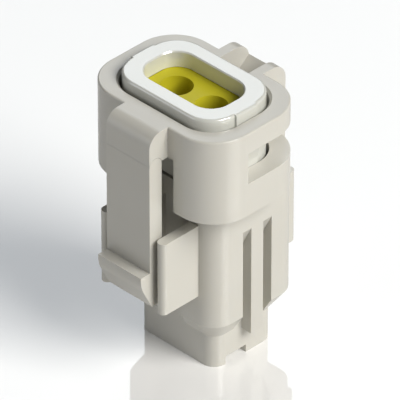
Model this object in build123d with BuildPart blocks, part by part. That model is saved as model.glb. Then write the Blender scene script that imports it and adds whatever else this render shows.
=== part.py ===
# Sealed two-way wire-to-wire connector half, standing on its mating face.
# Millimetres. The origin is on the mating face, midway between the two ways.
# +Z runs towards the wire entry and -Y faces the latch arm.
import os
from math import radians, tan

from build123d import *

os.makedirs("parts", exist_ok=True)

# Wire ways
way_pitch = 3.96
wire_bore = 2.8

# Heights, stacked up from the mating face
nose_height = 3.1
shoulder_height = 1.75
body_height = 12.1
hood_height = 8.0

# Nose and lower body
nose_width = 8.84
nose_depth = 7.0
nose_corner = 1.2
nose_centre_y = 1.4
body_width = 11.02
body_depth = 9.84
body_corner = 2.0
body_centre_y = 1.71

# Hood, the shroud round the wire end
hood_width = 15.37
hood_depth = 10.89
hood_corner = 3.6
hood_wall_side = 1.585
hood_wall_front = 1.295
bore_corner = 2.8
mouth_chamfer = 0.22
rim_fillet = 0.15

# Side windows in the hood
window_drop = 1.94
window_height = 2.96
window_start_y = -1.51
window_end_x = 3.3

# Seal cup inside the hood and the moat round it
cup_gap = 0.1
cup_wall = 0.5
cup_drop = 0.95
seal_seat_drop = 6.3
moat_drop = 6.2

# Seal cap
cap_clearance = 0.25
cap_wall = 0.6
cap_rise = 0.815
cap_plate = 1.5
cap_reach = 6.0
cap_edge = 0.22
cap_lip = 1.48
cap_mouth_corner = 1.8
cap_mouth_edge = 0.1

# Snap legs on the cap's short sides
leg_width = 2.4
leg_stand = 0.2
leg_hook = 0.55
hook_play = 0.15
hook_land = 0.3
hook_height = 2.2

# Wire seal
seal_clearance = 0.02
seal_play = 0.05
seal_rib_depth = 0.25
seal_rib_height = 0.8
seal_rib_count = 3
seal_mouth = 2.4
seal_lip_depth = 0.35
seal_lip_height = 0.6
seal_lip_spacing = 1.4
seal_lip_count = 2

# Latch arm, the root block that carries it, and its barb
arm_width = 4.94
arm_thickness = 1.37
arm_stand = 0.685
arm_tip_height = 8.15
root_height = 2.9
root_round = 1.3
hinge_gap = 0.03
hinge_wrap = 0.2
arm_slot_side = 0.63
barb_top_height = 11.55
barb_reach = 1.03
barb_edge = 0.3
barb_round = 1.2
barb_slope = 26.6
tip_chamfer = 0.5

# Guard ribs beside the latch arm and beside the rear rails
guard_gap = 0.29
guard_thickness = 0.95
guard_base = 7.75
guard_height = 7.0
front_guard_reach = 4.01
rear_guard_reach = 1.5

# Rear rails and the ramp between them
rail_width = 0.92
rail_inset = 0.07
rail_stand = 2.52
rail_round = 1.5
ramp_drop = 1.25
ramp_slope = 39.6

# Channel between the front pads
channel_width = 3.42
channel_floor_width = 2.24

# Key rib on each side and the slots beside it
key_width = 1.37
key_start_y = 1.09
key_base = 2.69
key_slot_width = 0.97
key_slot_top = 13.31
key_slot_ramp = 2.26

# Front retainer and its pry notches
retainer_thickness = 1.6
retainer_wall = 0.75
retainer_clearance = 0.05
mating_opening = 1.5
mating_flare = 0.3
notch_width = 2.35
notch_height = 0.75
notch_start_y = -0.75

# Socket contacts and the cavities that hold them
contact_size = 2.2
contact_clearance = 0.12
contact_sheet = 0.25
contact_box_length = 7.6
contact_seam = 0.16
contact_end_play = 0.15
strip_width = 1.2
neck_length = 1.4
neck_height = 0.8
wire_crimp_length = 2.2
wire_crimp_width = 1.9
wire_crimp_height = 1.9
crimp_gap = 0.6
grip_length = 1.9
grip_width = 2.0
grip_height = 2.1
tongue_width = 1.0
tongue_start = 0.8
tongue_length = 4.5
tongue_bow = 0.45
tongue_sheet = 0.15

# Levels and faces that follow from the sizes above
nose_top = nose_height
body_base = nose_top + shoulder_height
hood_base = body_base + body_height
rim = hood_base + hood_height
nose_front = nose_centre_y - nose_depth / 2
body_front = body_centre_y - body_depth / 2
body_back = body_centre_y + body_depth / 2
hood_front = -hood_depth / 2
hood_back = hood_depth / 2
bore_width = hood_width - 2 * hood_wall_side
bore_depth = hood_depth - 2 * hood_wall_front
cap_width = bore_width - 2 * cap_clearance
cap_depth = bore_depth - 2 * cap_clearance
cap_corner = bore_corner - cap_clearance
cup_width = cap_width - 2 * (cap_wall + cup_gap)
cup_depth = cap_depth - 2 * (cap_wall + cup_gap)
cup_corner = cap_corner - cap_wall - cup_gap
pocket_width = cup_width - 2 * cup_wall
pocket_depth = cup_depth - 2 * cup_wall
pocket_corner = cup_corner - cup_wall
cap_top = rim + cap_rise
plate_base = cap_top - cap_plate
seal_seat = rim - seal_seat_drop
moat_floor = rim - moat_drop
window_top = rim - window_drop
window_base = window_top - window_height
arm_inner = hood_front - arm_stand
arm_outer = arm_inner - arm_thickness
root_base = rim - root_height
knuckle = arm_thickness / 2
hinge_y = arm_inner - knuckle
hinge_z = root_base - hinge_wrap
guard_inner_x = arm_width / 2 + guard_gap
rail_outer_x = arm_width / 2 + rail_inset
cavity_size = contact_size + 2 * contact_clearance


def way_positions():
    """Centres of the two ways in a horizontal sketch."""
    return GridLocations(way_pitch, 0, 2, 1)


def rounded_bar(width, depth, corner, low, high, centre_y=0.0):
    """An upright bar with rounded vertical edges, from one level to another."""
    with BuildPart() as bar:
        with BuildSketch(Plane.XY.offset(low)):
            with Locations((0, centre_y)):
                RectangleRounded(width, depth, corner)
        extrude(amount=high - low)
    return bar.part


def make_shoulder():
    """The tapered step from the nose out to the lower body."""
    with BuildPart() as shoulder:
        with BuildSketch(Plane.XY.offset(nose_top)):
            with Locations((0, nose_centre_y)):
                RectangleRounded(nose_width, nose_depth, nose_corner)
        with BuildSketch(Plane.XY.offset(body_base)):
            with Locations((0, body_centre_y)):
                RectangleRounded(body_width, body_depth, body_corner)
        loft(ruled=True)
    return shoulder.part


def make_hood():
    """The hood's outer block with its softened rim."""
    with BuildPart() as hood:
        with BuildSketch(Plane.XY.offset(hood_base)):
            RectangleRounded(hood_width, hood_depth, hood_corner)
        extrude(amount=hood_height)
        fillet(hood.edges().group_by(Axis.Z)[-1], radius=rim_fillet)
    return hood.part


def make_mouth():
    """The chamfer cut round the hood's bore at the rim."""
    with BuildPart() as mouth:
        with BuildSketch(Plane.XY.offset(rim - mouth_chamfer)):
            RectangleRounded(bore_width, bore_depth, bore_corner)
        with BuildSketch(Plane.XY.offset(rim)):
            RectangleRounded(
                bore_width + 2 * mouth_chamfer,
                bore_depth + 2 * mouth_chamfer,
                bore_corner + mouth_chamfer,
            )
        loft(ruled=True)
    return mouth.part


def make_moat():
    """The ring-shaped space that the cap's sleeve slides down into."""
    with BuildPart() as moat:
        with BuildSketch(Plane.XY.offset(moat_floor)):
            RectangleRounded(bore_width, bore_depth, bore_corner)
            RectangleRounded(cup_width, cup_depth, cup_corner, mode=Mode.SUBTRACT)
        extrude(amount=rim - moat_floor)
    return moat.part


def make_cavities():
    """Square contact cavities from the mating face up to the seal's seat."""
    with BuildPart() as cavities:
        with BuildSketch(Plane.XY):
            with way_positions():
                Rectangle(cavity_size, cavity_size)
        extrude(amount=seal_seat)
    return cavities.part


def make_window():
    """The +X side window, open from the side face round to the rear rails."""
    with BuildPart() as window:
        with BuildSketch(Plane.XY.offset(window_base)):
            with Locations((window_end_x, window_start_y)):
                Rectangle(hood_width, hood_depth, align=(Align.MIN, Align.MIN))
        extrude(amount=window_height)
    return window.part


def make_arm_slot():
    """The opening in the hood's front wall that the latch arm flexes into."""
    with BuildPart() as slot:
        with BuildSketch(Plane.XY.offset(hood_base)):
            with Locations((0, hood_front + hood_wall_front + cap_clearance / 2)):
                Rectangle(
                    arm_width + 2 * arm_slot_side,
                    2 * hood_wall_front + arm_stand,
                    align=(Align.CENTER, Align.MAX),
                )
        extrude(amount=root_base - hood_base)
    return slot.part


def make_root():
    """The block at the rim that carries the latch arm, hollowed for its hinge."""
    with BuildPart() as root:
        with BuildSketch(Plane.YZ) as section:
            with Locations((hood_front + hood_wall_front / 2, root_base)):
                Rectangle(
                    hood_front + hood_wall_front / 2 - arm_outer,
                    root_height,
                    align=(Align.MAX, Align.MIN),
                )
            fillet(section.vertices().group_by(Axis.X)[0].sort_by(Axis.Y)[-1], root_round)
            with Locations((hinge_y, hinge_z)):
                Circle(knuckle + hinge_gap, mode=Mode.SUBTRACT)
        extrude(amount=arm_width / 2, both=True)
    return root.part


def make_guards(wall_y, reach, outward):
    """A pair of guard ribs on one face of the body, with full-round ends."""
    radius = guard_thickness / 2
    centre_x = guard_inner_x + radius
    with BuildPart() as guards:
        with BuildSketch(Plane.XY.offset(guard_base)):
            for side in (-1, 1):
                with Locations((side * centre_x, wall_y + outward * (reach - radius))):
                    Circle(radius)
                with Locations((side * centre_x, wall_y + outward * (reach - radius - body_corner) / 2)):
                    Rectangle(guard_thickness, reach - radius + body_corner)
        extrude(amount=guard_height)
    return guards.part


def make_rear_clip():
    """The rounded block down the hood's back that the two rails are cut from."""
    with BuildPart() as clip:
        with BuildSketch(Plane.YZ) as side_view:
            with Locations((hood_back - hood_wall_front / 2, hood_base)):
                Rectangle(
                    rail_stand + hood_wall_front / 2,
                    hood_height,
                    align=(Align.MIN, Align.MIN),
                )
            fillet(side_view.vertices().group_by(Axis.X)[-1].sort_by(Axis.Y)[-1], rail_round)
        extrude(amount=rail_outer_x, both=True)
    return clip.part


def make_ramp():
    """The sloped notch between the rails, down from their faces to the hood's bore."""
    inner_y = hood_back - hood_wall_front - cap_clearance / 2
    outer_y = hood_back + rail_stand
    fall = (outer_y - inner_y) * tan(radians(ramp_slope))
    with BuildPart() as ramp:
        with BuildSketch(Plane.YZ):
            with BuildLine():
                Polyline(
                    (inner_y, rim - ramp_drop - fall),
                    (outer_y, rim - ramp_drop),
                    (outer_y + rail_stand, rim - ramp_drop),
                    (outer_y + rail_stand, rim + rail_stand),
                    (inner_y, rim + rail_stand),
                    close=True,
                )
            make_face()
        extrude(amount=rail_outer_x - rail_width, both=True)
    return ramp.part


def make_channel():
    """The tapered channel between the two front pads."""
    with BuildPart() as channel:
        with BuildSketch(Plane.XY.offset(nose_top)):
            with BuildLine():
                Polyline(
                    (-channel_floor_width / 2, nose_front),
                    (-channel_width / 2, body_front),
                    (-channel_width / 2, body_front - arm_stand),
                    (channel_width / 2, body_front - arm_stand),
                    (channel_width / 2, body_front),
                    (channel_floor_width / 2, nose_front),
                    close=True,
                )
            make_face()
        extrude(amount=hood_base - nose_top)
    return channel.part


def make_key_slots():
    """The two slots beside the +X key rib, each with a ramp at its top."""
    first_y = key_start_y - key_slot_width
    second_y = key_start_y + key_width
    outside = body_width / 2 + key_slot_width
    with BuildPart() as slots:
        for start_y in (first_y, second_y):
            with BuildSketch(Plane.XZ.offset(-start_y)):
                with BuildLine():
                    Polyline(
                        (nose_width / 2, key_base),
                        (nose_width / 2, key_slot_top - key_slot_ramp),
                        (body_width / 2, key_slot_top),
                        (outside, key_slot_top),
                        (outside, key_base),
                        close=True,
                    )
                make_face()
            extrude(amount=-key_slot_width)
    return slots.part


def make_key():
    """The +X key rib, square at its lower end below the shoulder."""
    with BuildPart() as key:
        with BuildSketch(Plane.XY.offset(key_base)):
            with Locations((body_width / 2, key_start_y)):
                Rectangle(
                    body_width / 2 - nose_width / 2 + nose_corner,
                    key_width,
                    align=(Align.MAX, Align.MIN),
                )
        extrude(amount=body_base + shoulder_height - key_base)
    return key.part


def make_notch():
    """The pry notch in the +X bottom edge of the nose."""
    with BuildPart() as notch:
        with BuildSketch(Plane.XY):
            with Locations((nose_width / 2 - retainer_wall, notch_start_y)):
                Rectangle(2 * retainer_wall, notch_width, align=(Align.MIN, Align.MIN))
        extrude(amount=notch_height)
    return notch.part


# Shapes that occur on both sides, made before the housing
nose = rounded_bar(nose_width, nose_depth, nose_corner, 0, nose_top, nose_centre_y)
body = rounded_bar(body_width, body_depth, body_corner, body_base, hood_base, body_centre_y)
shoulder = make_shoulder()
hood = make_hood()
root = make_root()
front_guards = make_guards(body_front, front_guard_reach, -1)
rear_guards = make_guards(body_back, rear_guard_reach, 1)
rear_clip = make_rear_clip()
ramp = make_ramp()
key_slots = make_key_slots()
key = make_key()
window = make_window()
notch = make_notch()
channel = make_channel()
arm_slot = make_arm_slot()
moat = make_moat()
mouth = make_mouth()
cavities = make_cavities()
cup_mouth = rounded_bar(cup_width, cup_depth, cup_corner, rim - cup_drop, rim)
pocket = rounded_bar(pocket_width, pocket_depth, pocket_corner, seal_seat, rim)
retainer_seat = rounded_bar(
    nose_width - 2 * retainer_wall,
    nose_depth - 2 * retainer_wall,
    nose_corner / 2,
    0,
    retainer_thickness,
    nose_centre_y,
)

# Housing, one moulding: nose, body, hood, guards, rails and seal cup
with BuildPart() as housing:
    add(nose)
    add(shoulder)
    add(body)
    add(hood)
    add(channel, mode=Mode.SUBTRACT)
    add(key_slots, mode=Mode.SUBTRACT)
    add(mirror(key_slots, about=Plane.YZ, mode=Mode.PRIVATE), mode=Mode.SUBTRACT)
    add(key)
    add(mirror(key, about=Plane.YZ, mode=Mode.PRIVATE))
    add(front_guards)
    add(rear_guards)
    add(rear_clip)
    add(ramp, mode=Mode.SUBTRACT)
    add(arm_slot, mode=Mode.SUBTRACT)
    add(root)
    add(window, mode=Mode.SUBTRACT)
    add(mirror(window, about=Plane.YZ, mode=Mode.PRIVATE), mode=Mode.SUBTRACT)
    add(moat, mode=Mode.SUBTRACT)
    add(mouth, mode=Mode.SUBTRACT)
    add(cup_mouth, mode=Mode.SUBTRACT)
    add(pocket, mode=Mode.SUBTRACT)
    add(cavities, mode=Mode.SUBTRACT)
    add(retainer_seat, mode=Mode.SUBTRACT)
    add(notch, mode=Mode.SUBTRACT)
    add(mirror(notch, about=Plane.YZ, mode=Mode.PRIVATE), mode=Mode.SUBTRACT)
housing.part.label = "housing"
export_step(housing.part, "parts/housing.step")

# Latch arm: a flat spring arm with a round knuckle at the top and a barb
with BuildPart() as latch_arm:
    barb_outer = arm_outer - barb_reach
    round_start = barb_top_height - barb_edge
    round_end_y = barb_outer + barb_round * tan(radians(barb_slope / 2))
    round_end_z = round_start - barb_round
    tip_y = round_end_y + (round_end_z - arm_tip_height) * tan(radians(barb_slope))
    with BuildSketch(Plane.YZ):
        with BuildLine():
            Polyline(
                (arm_outer, hinge_z),
                (arm_outer, barb_top_height),
                (barb_outer, barb_top_height),
                (barb_outer, round_start),
            )
            TangentArc((barb_outer, round_start), (round_end_y, round_end_z), tangent=(0, -1))
            Polyline(
                (round_end_y, round_end_z),
                (tip_y, arm_tip_height),
                (arm_inner - tip_chamfer, arm_tip_height),
                (arm_inner, arm_tip_height + tip_chamfer),
                (arm_inner, hinge_z),
            )
            ThreePointArc((arm_inner, hinge_z), (hinge_y, hinge_z + knuckle), (arm_outer, hinge_z))
        make_face()
    extrude(amount=arm_width / 2, both=True)
latch_arm.part.label = "latch_arm"
export_step(latch_arm.part, "parts/latch_arm.step")

# Seal cap: a plate with an oval mouth, a sleeve below it and two snap legs
cap_hollow = rounded_bar(
    cap_width - 2 * cap_wall,
    cap_depth - 2 * cap_wall,
    cap_corner - cap_wall,
    rim - cap_reach,
    plate_base,
)
cap_mouth = rounded_bar(
    cap_width - 2 * cap_lip,
    cap_depth - 2 * cap_lip,
    cap_mouth_corner,
    plate_base,
    cap_top,
)

with BuildPart() as cap_leg:
    hook_top = window_top - hook_play
    leg_face = cap_width / 2 + leg_stand
    hook_face = cap_width / 2 + leg_hook
    with BuildSketch(Plane.XZ) as leg_section:
        with BuildLine():
            Polyline(
                (cap_width / 2 - cap_wall / 2, cap_top),
                (leg_face, cap_top),
                (leg_face, hook_top),
                (hook_face, hook_top),
                (hook_face, hook_top - hook_land),
                (leg_face, hook_top - hook_height),
                (leg_face, rim - cap_reach),
                (cap_width / 2 - cap_wall / 2, rim - cap_reach),
                close=True,
            )
        make_face()
        fillet(leg_section.vertices().group_by(Axis.Y)[-1].sort_by(Axis.X)[-1], cap_edge)
    extrude(amount=leg_width / 2, both=True)

with BuildPart() as seal_cap:
    with BuildSketch(Plane.XY.offset(rim - cap_reach)):
        RectangleRounded(cap_width, cap_depth, cap_corner)
    extrude(amount=cap_top - rim + cap_reach)
    fillet(seal_cap.edges().group_by(Axis.Z)[-1], radius=cap_edge)
    add(cap_hollow, mode=Mode.SUBTRACT)
    add(cap_mouth, mode=Mode.SUBTRACT)
    chamfer(seal_cap.faces().sort_by(Axis.Z)[-1].inner_wires()[0].edges(), length=cap_mouth_edge)
    add(cap_leg.part)
    add(mirror(cap_leg.part, about=Plane.YZ, mode=Mode.PRIVATE))
seal_cap.part.label = "seal_cap"
export_step(seal_cap.part, "parts/seal_cap.step")

# Wire seal: a soft block with rings round it and lips inside its two bores
seal_base = seal_seat + seal_play
seal_top = plate_base - seal_play
rib_width = pocket_width - 2 * seal_clearance
rib_depth = pocket_depth - 2 * seal_clearance
rib_corner = pocket_corner - seal_clearance
rib_pitch = (rim - cup_drop - seal_base - seal_rib_height) / (seal_rib_count - 1)
seal_ribs = []
for index in range(seal_rib_count):
    rib_low = seal_base + index * rib_pitch
    seal_ribs.append(rounded_bar(rib_width, rib_depth, rib_corner, rib_low, rib_low + seal_rib_height))

with BuildPart() as seal_bores:
    lip_radius = wire_bore / 2 - seal_lip_depth
    with BuildSketch(Plane.XZ):
        with Locations((0, seal_base)):
            Rectangle(wire_bore / 2, seal_top - seal_base, align=(Align.MIN, Align.MIN))
        for index in range(seal_lip_count):
            lip_top = seal_top - seal_mouth - index * seal_lip_spacing
            with BuildLine():
                Polyline(
                    (wire_bore / 2, lip_top),
                    (lip_radius, lip_top - seal_lip_height / 2),
                    (wire_bore / 2, lip_top - seal_lip_height),
                    close=True,
                )
            make_face(mode=Mode.SUBTRACT)
    revolve(axis=Axis.Z)

with BuildPart() as wire_seal:
    with BuildSketch(Plane.XY.offset(seal_base)):
        RectangleRounded(
            rib_width - 2 * seal_rib_depth,
            rib_depth - 2 * seal_rib_depth,
            rib_corner - seal_rib_depth,
        )
    extrude(amount=seal_top - seal_base)
    for seal_rib in seal_ribs:
        add(seal_rib)
    with way_positions():
        add(seal_bores.part, mode=Mode.SUBTRACT)
wire_seal.part.label = "wire_seal"
export_step(wire_seal.part, "parts/wire_seal.step")

# Front retainer: the plate in the nose that the contacts stand behind
with BuildPart() as front_retainer:
    with BuildSketch(Plane.XY):
        with Locations((0, nose_centre_y)):
            RectangleRounded(
                nose_width - 2 * (retainer_wall + retainer_clearance),
                nose_depth - 2 * (retainer_wall + retainer_clearance),
                nose_corner / 2 - retainer_clearance,
            )
    extrude(amount=retainer_thickness - retainer_clearance)
    with BuildSketch(Plane.XY):
        with way_positions():
            Rectangle(mating_opening, mating_opening)
    extrude(amount=retainer_thickness, mode=Mode.SUBTRACT)
    mouths = front_retainer.faces().sort_by(Axis.Z)[0].inner_wires()
    chamfer([edge for wire in mouths for edge in wire.edges()], length=mating_flare)
front_retainer.part.label = "front_retainer"
export_step(front_retainer.part, "parts/front_retainer.step")


def add_channel(low, length, width, height):
    """A length of folded sheet, open towards -Y, with its floor at the back."""
    with BuildPart() as channel_part:
        with BuildSketch(Plane.XY.offset(low)):
            with Locations((0, contact_size / 2)):
                Rectangle(width, height, align=(Align.CENTER, Align.MAX))
            with Locations((0, contact_size / 2 - contact_sheet)):
                Rectangle(
                    width - 2 * contact_sheet,
                    height,
                    align=(Align.CENTER, Align.MAX),
                    mode=Mode.SUBTRACT,
                )
        extrude(amount=length)
    return channel_part.part


# One socket contact, made on the axis between the ways and then placed twice
contact_base = retainer_thickness + contact_end_play
box_top = contact_base + contact_box_length
neck_top = box_top + neck_length
wire_crimp_top = neck_top + wire_crimp_length
grip_base = wire_crimp_top + crimp_gap
grip_top = grip_base + grip_length
contact_neck = add_channel(box_top, neck_length, contact_size, neck_height)
contact_wire_crimp = add_channel(neck_top, wire_crimp_length, wire_crimp_width, wire_crimp_height)
contact_grip = add_channel(grip_base, grip_length, grip_width, grip_height)

with BuildPart() as contact:
    with BuildSketch(Plane.XY.offset(contact_base)):
        Rectangle(contact_size, contact_size)
        Rectangle(contact_size - 2 * contact_sheet, contact_size - 2 * contact_sheet, mode=Mode.SUBTRACT)
        with Locations((0, -contact_size / 2)):
            Rectangle(contact_seam, 4 * contact_sheet, mode=Mode.SUBTRACT)
    extrude(amount=contact_box_length)
    with BuildSketch(Plane.XY.offset(box_top)):
        with Locations((0, contact_size / 2)):
            Rectangle(strip_width, contact_sheet, align=(Align.CENTER, Align.MAX))
    extrude(amount=grip_top - box_top)
    add(contact_neck)
    add(contact_wire_crimp)
    add(contact_grip)
    with BuildSketch(Plane.YZ):
        with BuildLine():
            wall = contact_size / 2 - contact_sheet / 2
            low = contact_base + tongue_start
            high = low + tongue_length
            middle = (low + high) / 2
            crest = contact_size / 2 - contact_sheet - tongue_bow
            ThreePointArc((wall, low), (crest, middle), (wall, high))
            ThreePointArc((wall, high - tongue_sheet * 3), (crest + tongue_sheet, middle), (wall, low + tongue_sheet * 3))
            Line((wall, high), (wall, high - tongue_sheet * 3))
            Line((wall, low + tongue_sheet * 3), (wall, low))
        make_face()
    extrude(amount=tongue_width / 2, both=True)

for name, side in (("left_contact", -1), ("right_contact", 1)):
    placed_contact = Pos(side * way_pitch / 2, 0, 0) * contact.part
    placed_contact.label = name
    export_step(placed_contact, "parts/" + name + ".step")
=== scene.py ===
# Looks for the sealed two-way connector half: finishes, camera, light and floor.
# Metres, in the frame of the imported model.
import math

import bpy
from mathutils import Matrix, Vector


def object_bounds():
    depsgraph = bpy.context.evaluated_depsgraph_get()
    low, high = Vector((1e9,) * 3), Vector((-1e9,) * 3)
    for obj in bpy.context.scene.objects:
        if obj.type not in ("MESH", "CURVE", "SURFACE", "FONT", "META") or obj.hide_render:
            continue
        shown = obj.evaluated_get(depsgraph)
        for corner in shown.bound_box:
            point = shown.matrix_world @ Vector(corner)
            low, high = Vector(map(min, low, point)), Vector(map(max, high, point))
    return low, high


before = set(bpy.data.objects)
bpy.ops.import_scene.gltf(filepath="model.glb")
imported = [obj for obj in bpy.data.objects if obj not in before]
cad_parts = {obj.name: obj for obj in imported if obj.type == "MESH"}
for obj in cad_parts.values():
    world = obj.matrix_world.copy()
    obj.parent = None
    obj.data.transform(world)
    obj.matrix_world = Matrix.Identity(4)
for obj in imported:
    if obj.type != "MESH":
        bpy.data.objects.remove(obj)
cad_low, cad_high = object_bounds()

MM = 0.001

# Camera: the photograph's isometric view, 400 pixels wide
PHOTO_PIXELS = 400
PIXELS_PER_MM = 12.247
CAMERA_AZIMUTH = math.radians(45.0)
CAMERA_ELEVATION = math.radians(35.264)
CAMERA_DISTANCE = 600 * MM
CAMERA_TARGET = Vector((-0.54, 1.23, 13.0)) * MM
SENSOR_WIDTH = 36.0
CLIP_RATIO = 10

# Noise textures: features per millimetre and octaves of detail
PLASTIC_CLOUD = (0.12, 1.0)
PLASTIC_FLOW = (0.4, 1.0)
PLASTIC_GRAIN = (9.0, 2.0)
SILICONE_CLOUD = (0.35, 1.0)
SILICONE_GRAIN = (6.0, 3.0)
ROLLING_MARKS = (12.0, 3.0)
ROLLING_STRETCH = (1.0, 1.0, 0.08)

# Relief: height in millimetres and strength
PLASTIC_RELIEF = (0.004, 0.35)
SILICONE_RELIEF = (0.006, 0.3)
METAL_RELIEF = (0.002, 0.2)

# Roughness, lowest and highest. A range across about 0.27 leaves blotches on
# flat faces in a denoised render, so only the hidden contacts have one.
IVORY_ROUGHNESS = (0.18, 0.26)
CAP_ROUGHNESS = (0.14, 0.2)
SILICONE_ROUGHNESS = (0.3, 0.42)
METAL_ROUGHNESS = (0.22, 0.4)

# Colours between which a finish clouds
IVORY_COLOURS = ((0.54, 0.525, 0.475), (0.62, 0.605, 0.555))
CAP_COLOURS = ((0.63, 0.635, 0.585), (0.71, 0.715, 0.67))
SILICONE_COLOURS = ((0.47, 0.425, 0.018), (0.59, 0.53, 0.028))
METAL_COLOURS = ((0.62, 0.6, 0.56), (0.76, 0.74, 0.7))

# Light within and on the plastics and the silicone
IVORY_IOR = 1.5
CAP_IOR = 2.35
SILICONE_IOR = 1.42
SILICONE_SPECULAR = 0.15
IVORY_GLOW = 0.12
CAP_GLOW = 0.1
GLOW_RADIUS = (1.0, 0.85, 0.6)
GLOW_DEPTH = 0.5 * MM

# Floor
FLOOR_HALF = 1.5
FLOOR_COLOUR = (0.88, 0.875, 0.865, 1.0)
FLOOR_ROUGHNESS = 0.05
FLOOR_IOR = 2.1
FLOOR_EMISSION_COLOUR = (1.0, 1.0, 1.0, 1.0)
FLOOR_EMISSION = 0.05

# Surroundings
WORLD_COLOUR = (0.95, 0.97, 1.0, 1.0)
WORLD_STRENGTH = 0.04

# Lights: name, direction, distance, length of a side, watts, colour.
# The back light is the one that the floor and the cap's top mirror.
LIGHTS = (
    ("key", (0.75, 0.11, 0.65), 0.8, 0.45, 7.7, (1.0, 0.985, 0.95)),
    ("fill", (-0.5, -0.84, 0.22), 0.8, 0.5, 1.1, (0.93, 0.96, 1.0)),
    ("back", (-0.577, 0.577, 0.577), 1.2, 0.5, 1.7, (0.9, 0.95, 1.0)),
)


def link(tree, source, output, target, socket):
    """Joins one output of a node to one input of another."""
    tree.links.new(source.outputs[output], target.inputs[socket])


def set_inputs(node, values):
    """Sets a node's inputs by name."""
    for name, value in values.items():
        node.inputs[name].default_value = value


def new_material(name):
    """A node material with its Principled shader, ready for more nodes."""
    material = bpy.data.materials.new(name)
    material.use_nodes = True
    shader = material.node_tree.nodes["Principled BSDF"]
    return material, material.node_tree, shader


def noise_node(tree, source, output, texture):
    """A noise texture in the coordinates that another node gives."""
    per_mm, octaves = texture
    noise = tree.nodes.new("ShaderNodeTexNoise")
    set_inputs(noise, {"Scale": per_mm / MM, "Detail": octaves})
    link(tree, source, output, noise, "Vector")
    return noise


def add_colour(tree, shader, source, colours):
    """Clouds a shader's colour between two colours, by a texture."""
    ramp = tree.nodes.new("ShaderNodeValToRGB")
    for element, colour in zip(ramp.color_ramp.elements, colours):
        element.color = (*colour, 1.0)
    link(tree, source, "Fac", ramp, "Fac")
    link(tree, ramp, "Color", shader, "Base Color")


def add_roughness(tree, shader, source, limits):
    """Varies a shader's roughness between two limits, by a texture."""
    low, high = limits
    spread = tree.nodes.new("ShaderNodeMapRange")
    set_inputs(spread, {"To Min": low, "To Max": high})
    link(tree, source, "Fac", spread, "Value")
    link(tree, spread, "Result", shader, "Roughness")


def add_relief(tree, shader, source, relief):
    """Gives a shader fine relief from a texture."""
    height_mm, strength = relief
    bump = tree.nodes.new("ShaderNodeBump")
    set_inputs(bump, {"Strength": strength, "Distance": height_mm * MM})
    link(tree, source, "Fac", bump, "Height")
    link(tree, bump, "Normal", shader, "Normal")


def moulded_plastic(name, colours, roughness, glow, index):
    """Natural, slightly cloudy moulded plastic with a soft gloss."""
    material, tree, shader = new_material(name)
    coordinates = tree.nodes.new("ShaderNodeTexCoord")
    cloud = noise_node(tree, coordinates, "Object", PLASTIC_CLOUD)
    flow = noise_node(tree, coordinates, "Object", PLASTIC_FLOW)
    grain = noise_node(tree, coordinates, "Object", PLASTIC_GRAIN)
    add_colour(tree, shader, cloud, colours)
    add_roughness(tree, shader, flow, roughness)
    add_relief(tree, shader, grain, PLASTIC_RELIEF)
    shader_values = {
        "IOR": index,
        "Subsurface Weight": glow,
        "Subsurface Radius": GLOW_RADIUS,
        "Subsurface Scale": GLOW_DEPTH,
    }
    set_inputs(shader, shader_values)
    return material


def silicone_rubber(name):
    """Satin silicone with slight clouding and a dusty sheen."""
    material, tree, shader = new_material(name)
    coordinates = tree.nodes.new("ShaderNodeTexCoord")
    cloud = noise_node(tree, coordinates, "Object", SILICONE_CLOUD)
    grain = noise_node(tree, coordinates, "Object", SILICONE_GRAIN)
    add_colour(tree, shader, cloud, SILICONE_COLOURS)
    add_roughness(tree, shader, grain, SILICONE_ROUGHNESS)
    add_relief(tree, shader, grain, SILICONE_RELIEF)
    set_inputs(shader, {"IOR": SILICONE_IOR, "Specular IOR Level": SILICONE_SPECULAR})
    return material


def tinned_metal(name):
    """Tin-plated sheet metal with rolling marks along its length."""
    material, tree, shader = new_material(name)
    coordinates = tree.nodes.new("ShaderNodeTexCoord")
    stretch = tree.nodes.new("ShaderNodeMapping")
    set_inputs(stretch, {"Scale": ROLLING_STRETCH})
    link(tree, coordinates, "Object", stretch, "Vector")
    marks = noise_node(tree, stretch, "Vector", ROLLING_MARKS)
    add_colour(tree, shader, marks, METAL_COLOURS)
    add_roughness(tree, shader, marks, METAL_ROUGHNESS)
    add_relief(tree, shader, marks, METAL_RELIEF)
    set_inputs(shader, {"Metallic": 1.0})
    return material


def dress(node, material):
    """Gives a CAD node its finish and leaves its mesh as packed."""
    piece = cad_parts[node]
    piece.data.materials.clear()
    piece.data.materials.append(material)


def area_light(name, direction, distance, side, power, colour):
    """A soft square light that faces the object from a direction."""
    data = bpy.data.lights.new(name, "AREA")
    data.shape = "SQUARE"
    data.size = side
    data.energy = power
    data.color = colour
    lamp = bpy.data.objects.new(name, data)
    towards = Vector(direction).normalized()
    lamp.location = CAMERA_TARGET + towards * distance
    lamp.rotation_mode = "QUATERNION"
    lamp.rotation_quaternion = (-towards).to_track_quat("-Z", "Y")
    bpy.context.scene.collection.objects.link(lamp)


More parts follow.
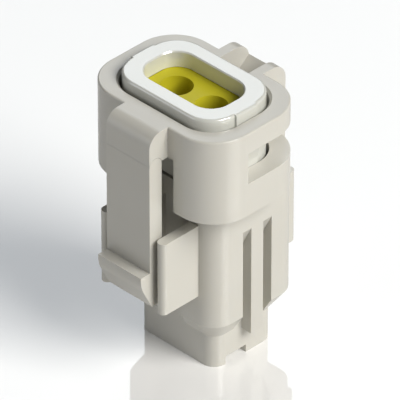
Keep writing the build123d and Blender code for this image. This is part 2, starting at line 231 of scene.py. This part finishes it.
def make_floor():
    """The plain pale floor, glossy enough to mirror the nose."""
    half = FLOOR_HALF
    mesh = bpy.data.meshes.new("floor")
    corners = [(-half, -half, 0), (half, -half, 0), (half, half, 0), (-half, half, 0)]
    mesh.from_pydata(corners, [], [(0, 1, 2, 3)])
    floor = bpy.data.objects.new("floor", mesh)
    floor.location.z = cad_low.z
    bpy.context.scene.collection.objects.link(floor)
    material, _, shader = new_material("floor_white")
    shader_values = {
        "Base Color": FLOOR_COLOUR,
        "Roughness": FLOOR_ROUGHNESS,
        "IOR": FLOOR_IOR,
        "Emission Color": FLOOR_EMISSION_COLOUR,
        "Emission Strength": FLOOR_EMISSION,
    }
    set_inputs(shader, shader_values)
    mesh.materials.append(material)


def make_world():
    """Dim, even surroundings."""
    world = bpy.data.worlds.new("studio")
    world.use_nodes = True
    background = world.node_tree.nodes["Background"]
    set_inputs(background, {"Color": WORLD_COLOUR, "Strength": WORLD_STRENGTH})
    bpy.context.scene.world = world


def make_camera():
    """A long lens on the isometric direction, framed as the photograph is."""
    data = bpy.data.cameras.new("camera")
    data.sensor_width = SENSOR_WIDTH
    seen_width = PHOTO_PIXELS / PIXELS_PER_MM * MM
    data.lens = SENSOR_WIDTH * CAMERA_DISTANCE / seen_width
    data.clip_start = CAMERA_DISTANCE / CLIP_RATIO
    data.clip_end = CAMERA_DISTANCE * CLIP_RATIO
    camera = bpy.data.objects.new("camera", data)
    back = Vector(
        (
            math.sin(CAMERA_AZIMUTH) * math.cos(CAMERA_ELEVATION),
            -math.cos(CAMERA_AZIMUTH) * math.cos(CAMERA_ELEVATION),
            math.sin(CAMERA_ELEVATION),
        )
    )
    camera.location = CAMERA_TARGET + back * CAMERA_DISTANCE
    camera.rotation_mode = "QUATERNION"
    camera.rotation_quaternion = (-back).to_track_quat("-Z", "Y")
    bpy.context.scene.collection.objects.link(camera)
    bpy.context.scene.camera = camera


ivory = moulded_plastic(
    "ivory_plastic", IVORY_COLOURS, IVORY_ROUGHNESS, IVORY_GLOW, IVORY_IOR
)
white = moulded_plastic("cap_plastic", CAP_COLOURS, CAP_ROUGHNESS, CAP_GLOW, CAP_IOR)
yellow = silicone_rubber("seal_silicone")
tin = tinned_metal("contact_tin")

dress("housing", ivory)
dress("latch_arm", ivory)
dress("seal_cap", white)
dress("front_retainer", white)
dress("wire_seal", yellow)
dress("left_contact", tin)
dress("right_contact", tin)

make_floor()
make_world()
make_camera()
for light in LIGHTS:
    area_light(*light)

bpy.context.scene.view_settings.view_transform = "Standard"
